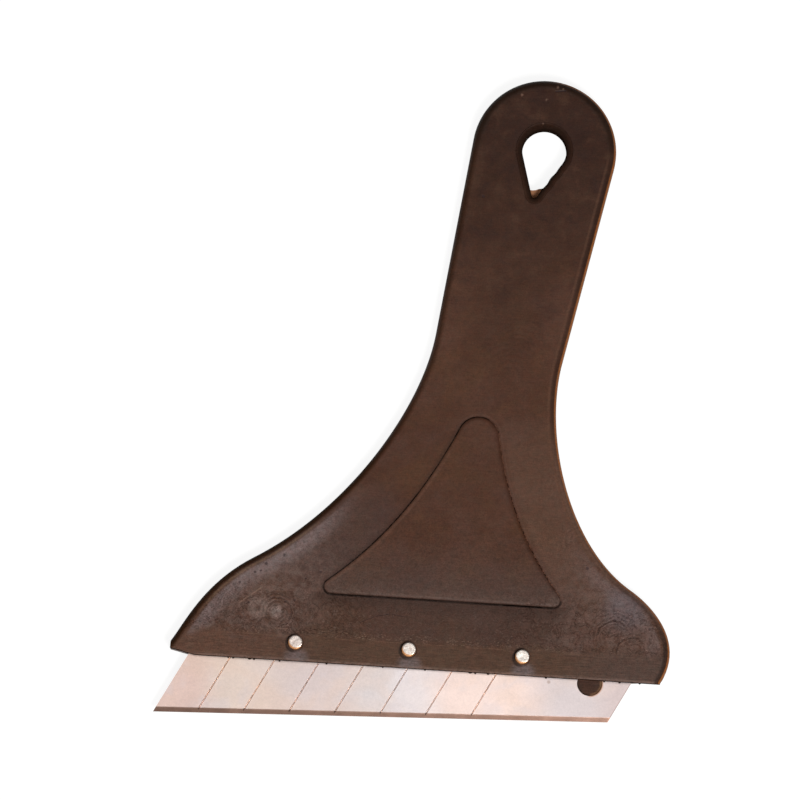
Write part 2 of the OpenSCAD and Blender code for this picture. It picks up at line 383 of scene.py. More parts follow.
def tree_of(*values):
    return next(value.id_data for value in values if isinstance(value, bpy.types.NodeSocket))


def calc(operation, a, b=0.0, c=0.0):
    node = add(tree_of(a, b, c), "Math", {0: a, 1: b, 2: c}, operation=operation)
    return node.outputs[0]


def folded(operation, values):
    result = values[0]
    for value in values[1:]:
        result = calc(operation, result, value)
    return result


def times(*values):
    return folded("MULTIPLY", values)


def plus(*values):
    return folded("ADD", values)


def minus(a, b):
    return calc("SUBTRACT", a, b)


def highest(*values):
    return folded("MAXIMUM", values)


def rest_of(share):
    return minus(1.0, share)


def centred(share):
    return minus(share, 0.5)


def ramp(value, low, high, to_low=0.0, to_high=1.0, kind="SMOOTHSTEP"):
    """Goes from to_low to to_high as the value goes from low to high, up or down."""
    return add(value.id_data, "MapRange", {0: value, 1: low, 2: high, 3: to_low, 4: to_high},
               interpolation_type=kind, clamp=True).outputs[0]


def thin_line(value, centre, half_width):
    """One where a value passes its centre, and zero half_width away."""
    gap = calc("ABSOLUTE", minus(value, centre))
    return ramp(gap, half_width, half_width * 0.25)


def vector(operation, a, b=(0, 0, 0)):
    node = add(tree_of(a, b), "VectorMath", {0: a, 1: b}, operation=operation)
    return node.outputs["Value" if operation in ("DISTANCE", "DOT_PRODUCT") else 0]


def scaled(value, factor):
    return add(value.id_data, "VectorMath", {0: value, "Scale": factor},
               operation="SCALE").outputs[0]


def stretched(where, x, y, z):
    return vector("MULTIPLY", where, (x, y, z))


def distance(where, x, y):
    return vector("DISTANCE", stretched(where, 1, 1, 0), (x, y, 0))


def grain(where, scale, detail=3.0, rough=0.5, warp=0.0):
    return add(where.id_data, "TexNoise", {"Vector": where, "Scale": scale, "Detail": detail,
                                           "Roughness": rough, "Distortion": warp}).outputs[0]


def mixed(share, first, second, blend="MIX"):
    return add(tree_of(share, first, second), "Mix", {0: share, 6: first, 7: second},
               data_type="RGBA", blend_type=blend).outputs[2]


def linear(r, g, b):
    """A colour as seen on a screen, 0 to 255, as Blender's linear values."""
    def one(v):
        v /= 255
        return v / 12.92 if v <= 0.04045 else ((v + 0.055) / 1.055) ** 2.4
    return (one(r), one(g), one(b), 1)


def coordinates(tree, turn=0.0, origin=(0, 0, 0)):
    """Jaw-frame millimetres, or those of a frame at origin that is turned about Z."""
    place = scaled(add(tree, "TexCoord").outputs["Object"], 1 / MM)
    moved = vector("SUBTRACT", place, Vector((jaw_x + origin[0], jaw_y + origin[1], origin[2])))
    if not turn:
        return moved
    return add(tree, "VectorRotate", {"Vector": moved, "Angle": -radians(turn)},
               rotation_type="Z_AXIS").outputs[0]


def split(where):
    return add(where.id_data, "SeparateXYZ", {0: where}).outputs


def new_material(name):
    material = bpy.data.materials.new(name)
    material.use_nodes = True
    tree = material.node_tree
    return material, tree, tree.nodes["Principled BSDF"]


def bumped(shader, layers):
    """Chains bumps, each (height in mm, how deep it is in mm)."""
    normal = None
    for height, depth in layers:
        inputs = {"Height": height, "Distance": depth * MM, "Strength": 1.0}
        if normal is not None:
            inputs["Normal"] = normal
        normal = add(shader.id_data, "Bump", inputs).outputs[0]
    feed(shader, {"Normal": normal})


# Coats of the materials: tone as on a screen, 0 to 255, and strength
COATS = dict(
    # Clouds of the plastic, with painted shade on the grip and under the pad, and painted grey sheen
    # low on the face
    violet_cloud=(81, 55, 46, 0.5),
    olive_cloud=(84, 55, 36, 0.5),
    # Painted shade: darker on the grip and at its end
    grip=(57, 35, 25, 0.88),
    grip_end=(50, 30, 23, 0.5),
    spine=(58, 37, 26, 0.25),
    sides=(90, 60, 47, 0.4),
    dark_dapple=(44, 27, 24, 0.4),
    light_dapple=(82, 56, 42, 0.4),
    low_grey_sheen=(76, 68, 66, 1),
    left_grey_sheen=(66, 57, 58, 0.35),
    shade_under_pad=(54, 38, 32, 0.25),
    beside_pad=(94, 68, 55, 0.6),
    # Painted sheen, violet-grey and hazy, over the flares
    hazy_sheen=(102, 82, 75, 1),
    edge_sheen=(122, 106, 105, 0.75),
    cold_sheen=(100, 92, 98, 0.45),
    # Marks of the melt's flow
    flow_mark=(56, 38, 31, 0.62),
    witness_line=(126, 96, 78, 0.22),
    gate_shine=(142, 124, 118, 0.75),
    gate_crescent=(132, 112, 104, 0.45),
    flakes=(128, 103, 94, 0.5),
    light_crinkle=(134, 108, 92, 0.5),
    dark_crinkle=(50, 34, 28, 0.4),
    # Painted shade and highlights round the pad and its foot
    pad_shade=(58, 40, 33, 0.6),
    pad_low_highlight=(114, 92, 82, 0.12),
    pad_edge_shade=(46, 26, 19, 0.2),
    foot_shade_line=(34, 19, 12, 1),
    right_foot_light=(104, 68, 51, 0.75),
    right_glint=(112, 84, 72, 0.15),
    pad_left_highlight=(112, 82, 68, 0.4),
    left_shade=(46, 29, 22, 0.35),
    # Painted shade and light on the edges
    left_rounding_shade=(47, 27, 11, 1),
    end_rounding_shade=(33, 21, 13, 0.7),
    tan_highlight=(118, 93, 72, 0.4),
    shadow_line=(40, 25, 18, 1),
    lit_flank=(106, 80, 67, 0.5),
    inner_shade_line=(48, 32, 25, 0.42),
    ridge_highlight=(96, 66, 50, 0.35),
    warm_rim_light=(160, 96, 46, 0.85),
    hole_rim_shade=(43, 30, 24, 0.7),
    hole_edge_shade=(33, 23, 18, 0.6),
    # Wear and strain, and a painted shadow ring round each pin
    dark_wear=(44, 32, 34, 0.65),
    pale_wear=(150, 118, 102, 0.36),
    strain=(108, 97, 98, 0.7),
    pin_shadow_ring=(34, 22, 18, 1),
    # Painted light and shade on the jaw's edges and lip, and painted light through the web in the
    # hang hole
    leaf_edge_highlight=(118, 94, 84, 0.5),
    end_wall_shade=(26, 16, 12, 0.95),
    lip=(44, 29, 23, 0.45),
    thrown_light=(150, 112, 80, 0.6),
    thrown_shade=(26, 17, 14, 0.5),
    web=(178, 124, 92, 0.85),
    # The blade, with painted reflections
    warm_cloud=(238, 210, 192, 0.35),
    cool_cloud=(226, 218, 224, 0.3),
    grinding=(99, 78, 69, 1),
    grinding_top=(150, 124, 112, 0.15),
    brown_dot=(150, 118, 96, 0.45),
    end_brown_line=(150, 112, 94, 0.5),
    gold_rim_reflection=(190, 134, 92, 0.7),
    # The pins, with painted golden reflections
    worn_head=(222, 204, 194, 1),
    gold_side_reflection=(206, 146, 96, 1),
    head_scratch=(150, 120, 104, 0.35),
)

# Marks on the front face, in jaw-frame millimetres
# Arcs of the melt's flow: centre, radius, middle and half span in degrees, strength
FLOW_ARCS = (
    (22.9, 10.5, 1.7, 0, 180, 0.7), (22.9, 10.5, 2.4, 200, 140, 0.45),
    (22.9, 10.5, 3.2, 30, 130, 0.7), (22.9, 10.5, 4.1, 70, 60, 0.4),
    (17.0, 10.4, 1.3, 10, 60, 0.5), (17.0, 10.4, 2.2, 0, 75, 0.6),
    (17.0, 10.4, 3.0, 10, 70, 0.8), (16.2, 10.8, 3.3, 150, 45, 0.5),
    (20.3, 17.2, 2.6, 300, 50, 0.7), (27.4, 12.2, 2.4, 60, 80, 0.4),
    (97.3, 9.5, 3.75, 105, 70, 1.0), (98.3, 9.3, 2.9, 110, 75, 0.8),
    (101.5, 6.5, 3.45, 125, 65, 1.1), (97.3, 9.5, 4.4, 165, 40, 0.5),
    (97.3, 9.5, 5.0, 165, 40, 0.5), (97.3, 9.5, 5.7, 160, 45, 0.4),
    (94.0, 9.0, 2.6, 150, 60, 0.4), (89.5, 13.5, 3.0, 80, 100, 0.3),
)
# Light and dark rings: centre, inner and outer radius, pitch, middle and half span, strength
RINGS = (
    (22.9, 10.5, 1.2, 4.2, 0.85, 70, 150, 1.0), (17.6, 10.6, 1.4, 3.4, 0.8, 200, 130, 0.6),
    (97.3, 9.5, 2.6, 6.2, 0.8, 130, 85, 1.0), (101.5, 6.5, 2.8, 4.6, 0.9, 120, 75, 0.8),
    (88.5, 30.5, 1.0, 4.0, 1.1, 100, 130, 0.6), (84.0, 42.0, 1.5, 4.5, 1.0, 90, 120, 0.4),
    (61.8, 6.8, 2.0, 5.2, 0.9, 90, 60, 0.35), (71.0, 66.0, 2.0, 9.5, 1.3, 80, 70, 0.3),
    (72.5, 72.5, 2.0, 6.5, 1.2, 60, 80, 0.25),
)
# Dark pits: place, radius
PITS = (
    (23.8, 23.2, 0.5), (19.9, 21.1, 0.45), (17.6, 19.1, 0.4), (18.8, 19.4, 0.35), (14.3, 16.6, 0.4),
    (16.6, 12.2, 0.4), (24.6, 12.9, 0.4), (28.8, 18.3, 0.35), (32.0, 20.0, 0.35), (26.7, 13.4, 0.3),
    (90.6, 24.5, 0.45), (97.3, 13.4, 0.4), (105.1, 12.0, 0.35), (62.5, 106.0, 0.5),
)
# Pale scuffs: place, radius
SCUFFS = ((69.5, 129.6, 0.4), (77.5, 131.7, 0.5), (78.6, 131.3, 0.35), (75.1, 128.7, 0.3),
          (74.7, 123.3, 0.3))
# Scratches: both ends, half width
PALE_SCRATCHES = (
    (14.4, 11.9, 19.6, 16.0, 0.13), (22.6, 6.9, 25.8, 7.0, 0.07),
)
DARK_SCRATCHES = (
    (41.2, 9.3, 44.6, 10.9, 0.06), (44.6, 10.9, 48.0, 11.7, 0.07),
    (48.0, 11.7, 51.5, 11.2, 0.05), (79.5, 131.0, 76.8, 130.6, 0.16),
)
# Painted reflections, as tones along the blade from its left end: where each begins and is full, and
# its colour
BLADE_END_REFLECTION = (232, 205, 196)
BLADE_REFLECTION_TONES = (
    (8, 16, (234, 216, 206)), (18, 34, (225, 210, 208)),
    (38, 47, (227, 220, 222)), (49, 57, (240, 230, 230)),
    (58, 66, (250, 228, 220)), (79, 90, (222, 211, 212)),
    (94, 103, (217, 201, 200)),
)
# What the score lines' tint multiplies the blade's colour by
SCORE_TINT = (0.95, 0.88, 0.82, 1)
LEFT_PIN_TONE = (238, 225, 217)
RIGHT_PIN_TONE = (255, 250, 242)


# Shapes of the marks

def facing(where, x, y, middle, half):
    """One where the direction from a centre lies within half a span of its middle, in degrees."""
    way = vector("NORMALIZE", stretched(vector("SUBTRACT", where, (x, y, 0)), 1, 1, 0))
    same = vector("DOT_PRODUCT", way, (cos(radians(middle)), sin(radians(middle)), 0))
    return ramp(same, cos(radians(half)) - 0.04, cos(radians(half * 0.8)) + 0.02)


def stroke(where, x0, y0, x1, y1, half_width):
    length = ((x1 - x0) ** 2 + (y1 - y0) ** 2) ** 0.5
    way = ((x1 - x0) / length, (y1 - y0) / length, 0)
    offset = vector("SUBTRACT", where, (x0, y0, 0))
    along = vector("DOT_PRODUCT", offset, way)
    across = vector("DOT_PRODUCT", offset, (-way[1], way[0], 0))
    ends = times(ramp(along, -0.1, 0.3), ramp(along, length + 0.1, length - 0.3))
    return times(thin_line(across, 0.0, half_width * 1.6), ends)


def rings(where, wobble, cx, cy, low, high, period, middle, half, strength):
    """Light and dark rings between two radii round a centre, within half a span of their middle."""
    d = distance(where, cx, cy)
    wave = calc("SINE", times(plus(d, wobble), 2 * pi / period))
    return times(wave, ramp(d, low - 0.3, low + 0.1), ramp(d, high + 0.5, high - 0.5),
                 facing(where, cx, cy, middle, half), strength)


# The plastic. In its layers, ramp(y, 64, 74) rises from 64 to 74 mm over the leaf's edge.

# The handle's middle line: x at the leaf's edge, and lean
MIDDLE_X = 56.5
MIDDLE_LEAN = 0.16
# Height of the witness line, and how far below a pin the strain's middle lies
WITNESS_Y = 5.35
STRAIN_DOWN = 3.4
PLASTIC_SPECULAR = 0.15


class Paint:
    """The places of a material, in mm, and its colour, which gets one coat over the other."""

    def __init__(self, where, colour=None):
        self.where = where
        self.x, self.y, self.z = split(where)
        self.colour = colour

    def coat(self, name, *shares):
        """Lays on one of COATS, as far as the product of the shares says."""
        *tone, strength = COATS[name]
        if strength < 1:
            shares += (strength,)
        self.colour = mixed(times(*shares), self.colour, linear(*tone))


class Surface(Paint):
    """What the plastic's layers share."""

    def __init__(self, tree):
        super().__init__(coordinates(tree))
        self.edge, self.pad, self.hole = (
            add(tree, "Attribute", attribute_name=name).outputs["Fac"]
            for name in ("edge_mm", "pad_mm", "hole_mm"))
        self.front = ramp(self.z, handle_t - 0.5, handle_t - 0.2)
        # Distance from the middle line: to the right, and to either side
        lean = minus(minus(self.x, times(self.y, MIDDLE_LEAN)), MIDDLE_X)
        self.east = ramp(lean, -3, 3)
        self.west = rest_of(self.east)
        self.off = calc("ABSOLUTE", lean)
        self.tinted = grain(self.where, 0.13, 3.0, 0.5, 0.3)
        self.mottled = grain(self.where, 0.5, 5.0, 0.65, 0.5)
        self.speckled = grain(self.where, 1.5, 4.0, 0.7, 0.4)
        self.fine = grain(self.where, 3.4, 3.0, 0.65)
        self.ragged_y = plus(self.y, times(centred(self.tinted), 7.0))
        self.wobble = times(centred(grain(self.where, 0.8, 2.0)), 0.9)
        self.broken = ramp(grain(self.where, 1.1, 3.0, 0.6), 0.32, 0.52)

    def uneven(self, x, y, share):
        """Distance from a place, as uneven as the share of the wobble says."""
        return plus(distance(self.where, x, y), times(self.wobble, share))


def clouds(s):
    """Clouds of the melt, lighter beside the pad; painted shade darkens them towards the grip's end.
    """
    y, off, pad = s.y, s.off, s.pad
    cloudy = grain(s.where, 0.055, 4.0, 0.55, 0.6)
    s.colour = mixed(ramp(cloudy, 0.35, 0.65), linear(75, 47, 34), linear(81, 53, 40))
    s.coat("violet_cloud", ramp(s.tinted, 0.5, 0.7))
    s.coat("olive_cloud", ramp(s.tinted, 0.5, 0.3))
    # Painted shade: the grip darker towards its end
    s.coat("grip", ramp(y, 66, 112))
    s.coat("grip_end", ramp(y, 106, 124))
    s.coat("spine", ramp(off, 9, 3), ramp(y, 64, 74), ramp(y, 104, 86))
    s.coat("sides", ramp(off, 6, 12), ramp(y, 64, 74), ramp(y, 96, 84))
    dapple = grain(s.where, 0.21, 5.0, 0.55, 0.3)
    on_grip = ramp(y, 56, 100, 0.15, 1.0)
    s.coat("dark_dapple", ramp(dapple, 0.5, 0.32), on_grip)
    s.coat("light_dapple", ramp(dapple, 0.5, 0.68), on_grip)
    # Painted grey sheen low on the face, and on the left flare
    s.coat("low_grey_sheen", ramp(y, 30, 16), ramp(y, 4.8, 6.6), ramp(off, 34, 24),
           ramp(pad, 0.5, 0.0, 0.2, 0.35))
    s.coat("left_grey_sheen", s.west, ramp(y, 44, 32), ramp(y, 16, 22), ramp(off, 12, 18),
           ramp(pad, -0.1, 0.1))
    # Painted shadow below the pad's base
    s.coat("shade_under_pad", ramp(y, pad_base, pad_base - 0.8), ramp(y, 4.8, 6.6), ramp(s.x, 42, 56),
           ramp(s.x, 92, 82))
    s.coat("beside_pad", s.east, ramp(pad, 0.0, 2.0), ramp(y, 62, 46), ramp(y, 12, 24),
           ramp(off, 34, 24))


def flares(s):
    """Painted violet-grey sheen, strongest along the flares' outer edges, and tan below the witness
    line.
    """
    y, off = s.y, s.off
    wide = times(ramp(off, 20, 33), ramp(off, 54, 44))
    above = ramp(s.ragged_y, 3.6, 7.4, 0.12, 1.0)
    # Painted sheen over the flares, stronger along their outer edges and cooler at the right
    s.coat("hazy_sheen", wide, ramp(y, 38, 20), above, ramp(s.mottled, 0.36, 0.6, 0.35, 1.0), s.front,
           ramp(s.east, 0, 1, 0.75, 0.6))
    s.coat("edge_sheen", ramp(s.edge, 1.8, 2.5), ramp(s.edge, 6.5, 3.0), ramp(y, 44, 24), above,
           ramp(s.speckled, 0.3, 0.6, 0.7, 1.0), highest(s.west, ramp(y, 26, 20, 0.12, 0.45)),
           s.front, ramp(off, 20, 30))
    s.coat("cold_sheen", ramp(distance(s.where, 99.5, 16.0), 7.0, 2.0), s.front)
    tone = mixed(ramp(s.x, 12, 34), linear(93, 66, 53), linear(80, 59, 46))
    tone = mixed(ramp(s.x, 84, 100), tone, linear(78, 61, 54))
    s.colour = mixed(times(ramp(s.ragged_y, 7.6, 3.8), s.front, 0.75), s.colour, tone)


def flow_marks(s):
    """Arcs, rings, curls and crinkles of the melt's flow; gives their heights."""
    where, front, broken = s.where, s.front, s.broken
    lines = []
    for cx, cy, r, middle, half, strength in FLOW_ARCS:
        line = thin_line(plus(distance(where, cx, cy), s.wobble), r, 0.3)
        if half < 180:
            line = times(line, facing(where, cx, cy, middle, half))
        lines.append(times(line, strength))
    arcs = times(highest(*lines), broken, front)
    swell = times(plus(*(rings(where, s.wobble, *row) for row in RINGS)), broken, front)
    contour = grain(where, 0.33, 4.0, 0.6, 1.4)
    jaw_band = times(ramp(s.y, 5.4, 6.4), ramp(s.y, 21, 13), ramp(s.off, 10, 24, 0.3, 1.0))
    curls = highest(thin_line(contour, 0.5, 0.016), thin_line(contour, 0.57, 0.014))
    marks = highest(arcs, times(curls, jaw_band, broken, front, 0.6))
    s.coat("flow_mark", marks)
    witness = thin_line(plus(s.y, times(s.wobble, 0.3)), WITNESS_Y, 0.2)
    s.coat("witness_line", witness, broken, front, ramp(s.tinted, 0.4, 0.55))
    s.coat("gate_shine", ramp(s.uneven(22.8, 10.6, 1.6), 1.9, 0.7),
           ramp(s.speckled, 0.35, 0.55, 0.5, 1.0), front)
    s.coat("gate_crescent", thin_line(s.uneven(18.8, 11.2, 1.4), 1.5, 1.3), ramp(s.x, 22.2, 20.8),
           front)
    flakes = times(ramp(grain(where, 1.6, 4.0, 0.7, 0.8), 0.56, 0.66), jaw_band, front)
    s.coat("flakes", flakes)
    crinkled = grain(stretched(where, 0.8, 1.5, 1), 2.4, 3.0, 0.7, 0.6)
    zone = times(ramp(s.y, 5.3, 5.8), ramp(s.y, 8.2, 6.4), ramp(contour, 0.44, 0.52), front,
                 ramp(s.x, 92, 84))
    s.coat("light_crinkle", ramp(crinkled, 0.53, 0.63), zone)
    s.coat("dark_crinkle", ramp(crinkled, 0.45, 0.36), zone)
    return swell, marks, flakes


def pad_surroundings(s):
    """Painted shade and highlights round the pad: the line at its foot, and soft shading of its
    sides.
    """
    x, y, pad = s.x, s.y, s.pad
    inner = ramp(pad, 0.1, -0.1)
    outer = rest_of(inner)
    right_side = ramp(x, 64, 70)
    over_base = ramp(y, pad_base, pad_base + 3)
    # Painted shadow just below the pad's base
    s.coat("pad_shade", ramp(y, pad_base + 0.6, pad_base - 0.2), ramp(pad, 4.5, 0.6), outer, s.front)
    # Painted highlight on the pad's lower rounded edge, and painted shade on its right and upper
    # edges
    s.coat("pad_low_highlight", ramp(y, pad_base + 2.6, pad_base + 0.7), ramp(pad, -0.1, -0.5), inner)
    s.coat("pad_edge_shade", ramp(pad, -1.5, -0.2), inner, ramp(y, pad_base + 1, pad_base + 5),
           highest(right_side, ramp(y, 50, 54)))
    # Painted shade in the groove at the pad's foot, strongest along its base
    at_base = times(ramp(y, pad_base + 2.2, pad_base + 0.8), ramp(x, 88, 86, 0.75, 1.0))
    s.coat("foot_shade_line", ramp(pad, -0.2, 0.0), ramp(pad, 0.5, 0.3), ramp(at_base, 0, 1, 0.08, 0.88))
    # Painted light: the right side's foot lies in the shade of the pad's wall, and is painted lighter
    # so that it is not black
    s.coat("right_foot_light", ramp(x, 66, 70), ramp(y, pad_base + 1, pad_base + 3), ramp(pad, 0.35, 0.15),
           ramp(pad, -0.15, 0.0))
    # Painted glint just outside the pad's right side
    s.coat("right_glint", thin_line(pad, 0.62, 0.35), highest(right_side, ramp(y, 52, 55)), over_base)
    # Painted highlight inside the pad's left edge, and painted shade outside it
    s.coat("pad_left_highlight", ramp(pad, -1.2, -0.5), inner, ramp(x, 62, 56), over_base)
    s.coat("left_shade", ramp(pad, 1.3, 0.4), outer, ramp(x, 64, 60), over_base)


def edges(s):
    """Rounded edges darker than the face by painted shade, with painted light lines; on the right
    they end in a painted warm rim light.
    """
    y, edge, east, west = s.y, s.edge, s.east, s.west
    # Painted shade on the left and end roundings, and a painted highlight line inside the left
    # flare's
    s.coat("left_rounding_shade", ramp(edge, 1.8, 0.7), west, ramp(y, 64, 36, 0.6, 0.95))
    s.coat("end_rounding_shade", ramp(edge, 2.5, 1.3), ramp(y, 112, 124))
    s.coat("tan_highlight", thin_line(edge, 1.6, 0.4), west, ramp(y, 36, 24), ramp(y, 6, 14))
    # On the right: a painted shadow line, a painted lit flank, a painted shade line, a painted ridge
    # highlight and a painted warm rim light
    flank = highest(ramp(y, 40, 60), ramp(y, 16, 8))
    s.coat("shadow_line", thin_line(edge, 0.9, 0.8), east, ramp(y, 118, 108), flank,
           ramp(y, 20, 10, 0.5, 0.68))
    s.coat("lit_flank", ramp(edge, 1.6, 1.1), east, rest_of(flank))
    s.coat("inner_shade_line", thin_line(edge, 1.2, 0.5), east, ramp(y, 26, 20))
    s.coat("ridge_highlight", thin_line(edge, 1.75, 0.4), east, ramp(y, 120, 112), ramp(y, 20, 34))
    s.coat("warm_rim_light", ramp(edge, 0.6, 0.3), east, ramp(s.z, 3.1, 3.6))
    # Painted shade on the hang hole's rounded rim
    s.coat("hole_rim_shade", ramp(s.hole, 2.1, 0.7))
    s.coat("hole_edge_shade", ramp(s.hole, 1.3, 0.4))


def wear(s):
    """Pits, scuffs and scratches; gives the height of the dark ones."""
    pits = [ramp(s.uneven(x, y, 0.6), r, r * 0.4) for x, y, r in PITS]
    dark = times(highest(*pits, *(stroke(s.where, *row) for row in DARK_SCRATCHES)), s.front)
    s.coat("dark_wear", dark)
    scuffs = highest(*(ramp(s.uneven(x, y, 1.7), r * 1.1, 0.0) for x, y, r in SCUFFS))
    scratches = highest(*(stroke(s.where, *row) for row in PALE_SCRATCHES))
    s.coat("pale_wear", highest(scuffs, scratches), ramp(s.z, handle_t - 1.6, handle_t - 1.2))
    return dark


def round_pins(s):
    """Plastic that the pins strain, between pin and edge, and a painted shadow ring round each pin.
    """
    for i in PINS:
        px, py = pin_place(i)
        spot = distance(stretched(s.where, 0.85, 1, 1), (px + 0.3) * 0.85, py - STRAIN_DOWN)
        s.coat("strain", ramp(plus(spot, s.wobble), 3.0, 1.0), s.front,
               ramp(s.speckled, 0.3, 0.6, 0.6, 1.0))
        # Painted shadow ring round the pin, strongest on its left
        ring = thin_line(distance(s.where, px - 0.25, py - 0.25), pin_r + 0.1, 0.5)
        s.coat("pin_shadow_ring", ring, s.front, ramp(minus(s.x, px), 0.6, -0.8, 0.45, 0.8))


def jaw_edges(s):
    """Painted highlight on the leaf's lower edge, painted shade on its end wall and the lip, and the
    web; gives the share of the dark end wall.
    """
    leaf_y = minus(s.y, ramp(s.x, 0, tip_run, tip_rise, 0, "LINEAR"))
    # Painted highlight along the leaf's lower edge
    s.coat("leaf_edge_highlight", ramp(leaf_y, 0.6, 0.25), ramp(s.z, handle_t - 0.4, handle_t - 0.2),
           ramp(s.x, 4, 8), s.broken)
    # Painted shade on the leaf's end wall, above the slot
    wall = times(ramp(leaf_y, 0.06, 0.02), ramp(s.z, slot_top - 0.3, slot_top),
                 ramp(s.z, handle_t - 0.05, handle_t - 0.2))
    s.coat("end_wall_shade", wall)
    # Painted shade on the back jaw's lip, under the blade in the slot
    on_lip = times(ramp(s.y, 0.1, -0.2), ramp(s.z, slot_bottom + 0.3, slot_bottom + 0.1))
    s.coat("lip", on_lip)
    # The jaw seen through the blade's tang hole: painted golden light from its right side, painted
    # shade at its left
    x, y = seated(blade_l / 2 - tang_hole_from_end, tang_hole_up - blade_w)
    thrown = times(ramp(distance(s.where, x, y), tang_hole_r - 0.75, tang_hole_r - 0.2), on_lip)
    s.coat("thrown_light", thrown, facing(s.where, x, y, -25, 65))
    s.coat("thrown_shade", thrown, facing(s.where, x, y, 170, 75))
    # Painted light: the thin web glows warm, as thin plastic does with light behind it
    s.coat("web", ramp(distance(s.where, 73.9, 107.6), 2.0, 1.4), thin_line(s.z, parting_z, 0.3))
    return wall


def plastic_material():
    material, tree, shader = new_material("brown_plastic")
    s = Surface(tree)
    clouds(s)
    flares(s)
    swell, marks, flakes = flow_marks(s)
    pad_surroundings(s)
    edges(s)
    dark = wear(s)
    round_pins(s)
    wall = jaw_edges(s)

    # Fine mottling and streaks, stronger on the flares
    streaks = grain(stretched(s.where, 0.3, 3.4, 1), 1.0, 3.0, 0.6)
    rough_zone = times(ramp(s.y, 42, 24), ramp(s.off, 8, 26, 0.85, 1.0))
    shade = plus(
        times(centred(s.fine), ramp(rough_zone, 0, 1, 0.75, 1.15, "LINEAR")),
        times(centred(s.speckled), ramp(rough_zone, 0, 1, 0.7, 1.0, "LINEAR")),
        times(centred(streaks), ramp(s.ragged_y, 7.0, 4.5, 0.35, 1.15)),
        times(swell, 0.16),
        ramp(s.mottled, 0.3, 0.7, 0.93, 1.07, "LINEAR"))
    blotches = ramp(grain(s.where, 0.8, 3.0, 0.6, 0.4), 0.38, 0.62)
    blotches = mixed(blotches, (1.035, 0.985, 0.975, 1), (0.965, 1.012, 1.02, 1))
    colour = mixed(1.0, s.colour, blotches, "MULTIPLY")

    # Hardly any sheen in the hole, on outer edges and on the end wall, where it mirrors the floor
    left_flare = times(s.west, ramp(s.y, 60, 36), ramp(s.edge, 1.7, 1.0))
    sheen = times(ramp(s.hole, 0.9, 1.7), ramp(s.edge, 0.0, 1.0, 0.35, 1.0), rest_of(wall),
                  ramp(left_flare, 0, 1, 1.0, 0.3, "LINEAR"), PLASTIC_SPECULAR)
    feed(shader, {"Base Color": scaled(colour, shade), "Specular IOR Level": sheen,
                  "Roughness": ramp(s.mottled, 0.3, 0.7, 0.38, 0.5)})
    bumped(shader, (
        (grain(s.where, 0.12, 2.0), 0.35),
        (times(s.fine, ramp(rough_zone, 0, 1, 0.3, 1.0, "LINEAR")), 0.06),
        (streaks, 0.025),
        (minus(times(swell, 0.25), marks), 0.09),
        (minus(flakes, dark), 0.04),
    ))
    return material


# The steels

def blade_material():
    material, tree, shader = new_material("ground_steel")
    low = seated(-blade_l / 2 - blade_slant, -blade_w)
    s = Paint(coordinates(tree, blade_skew, (*low, 0)), linear(*BLADE_END_REFLECTION))
    where, y = s.where, s.y
    # Painted reflections along the blade
    for start, end, tone in BLADE_REFLECTION_TONES:
        s.colour = mixed(ramp(s.x, start, end), s.colour, linear(*tone))
    s.coat("warm_cloud", ramp(grain(where, 0.07, 3.0, 0.5, 0.5), 0.42, 0.62))
    s.coat("cool_cloud", ramp(grain(where, 0.16, 3.0, 0.5, 0.3), 0.5, 0.7))
    ground = ramp(y, grind_h + 0.1, grind_h - 0.1)
    s.coat("grinding", ground)
    s.coat("grinding_top", ground, ramp(y, grind_h - 0.4, grind_h - 0.15))
    s.coat("brown_dot", ramp(distance(where, 86.9, 8.6), 0.55, 0.2))
    # Tint of the score lines, with lighter shoulders
    along = minus(s.x, times(y, 1 / tan(radians(score_angle))))
    turns = plus(times(minus(along, score_first), 1 / score_pitch), 0.5)
    gap = times(calc("ABSOLUTE", centred(calc("FRACT", turns))), score_pitch)
    within = times(ramp(turns, 0, 0.1), ramp(turns, score_count, score_count - 0.1), rest_of(ground))
    s.colour = mixed(times(ramp(gap, 0.22, 0.08), within), s.colour, SCORE_TINT, "MULTIPLY")
    shoulder = times(thin_line(gap, 0.42, 0.22), within)
    # A thin brown line along the slanted right end, and a painted golden reflection on the tang
    # hole's lower right rim
    s.coat("end_brown_line", ramp(along, blade_l - 0.3, blade_l - 0.05))
    tang_x = blade_l + blade_slant - tang_hole_from_end
    rim = ramp(distance(where, tang_x, tang_hole_up), tang_hole_r + 0.3, tang_hole_r + 0.1)
    s.coat("gold_rim_reflection", rim, facing(where, tang_x, tang_hole_up, -30, 70))
    speckled = grain(where, 1.3, 4.0, 0.7)
    shade = plus(ramp(speckled, 0.3, 0.7, 0.95, 1.04, "LINEAR"), times(shoulder, 0.035),
                 times(centred(grain(where, 3.2, 2.0)), 0.16))
    brushed = grain(stretched(where, 0.2, 9.0, 1), 1.0, 3.0, 0.6)
    feed(shader, {"Base Color": scaled(s.colour, shade), "Metallic": 1.0,
                  "Roughness": ramp(brushed, 0.3, 0.7, 0.3, 0.38)})
    bumped(shader, ((grain(where, 0.1, 2.0), 0.12), (speckled, 0.004), (brushed, 0.006)))
    return material


